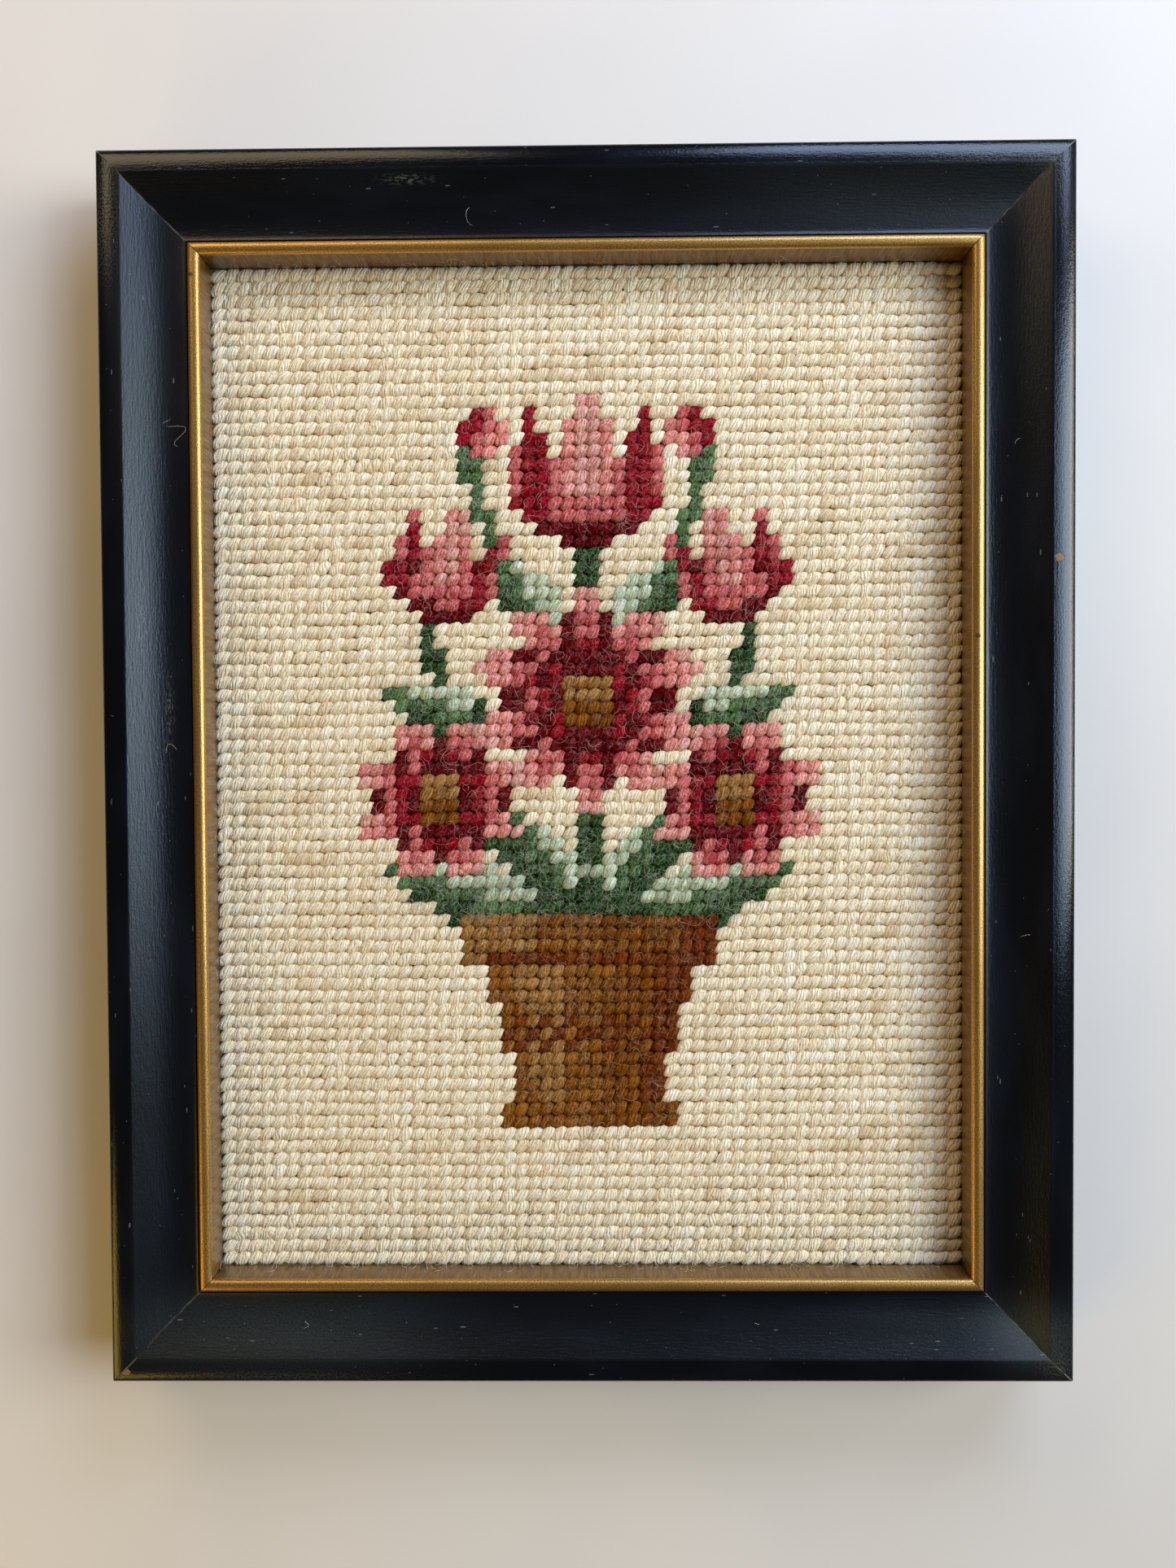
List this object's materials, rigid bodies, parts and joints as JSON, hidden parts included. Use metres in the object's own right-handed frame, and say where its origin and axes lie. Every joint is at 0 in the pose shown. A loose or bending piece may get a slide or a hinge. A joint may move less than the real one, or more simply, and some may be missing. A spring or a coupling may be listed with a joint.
{
  "type": "framed needlepoint",
  "caption": "Wool tent-stitch picture on canvas in a mitred black-painted wooden frame with a rounded nose, a cove and a gilt sight edge; lies face up or stands on its lower edge.",
  "frame": {"origin": "centre of the frame's back, on the surface that the frame lies on face up", "axes": "+Z out of the picture towards the viewer, +Y towards the picture's top, +X towards its right side"},
  "size_m": [0.1824, 0.2324, 0.018],
  "materials": {
    "black_paint": "satin black paint with a faint navy sheen, brushed on",
    "gilt": "satin bronze-powder gold paint",
    "wool": "matte fuzzy wool yarn"
  },
  "bodies": {
    "root": {"rail_top": "black_paint", "rail_bottom": "black_paint", "rail_left": "black_paint", "rail_right": "black_paint", "slip_top": "gilt", "slip_bottom": "gilt", "slip_left": "gilt", "slip_right": "gilt", "needlepoint": "wool"}
  },
  "joints": []
}
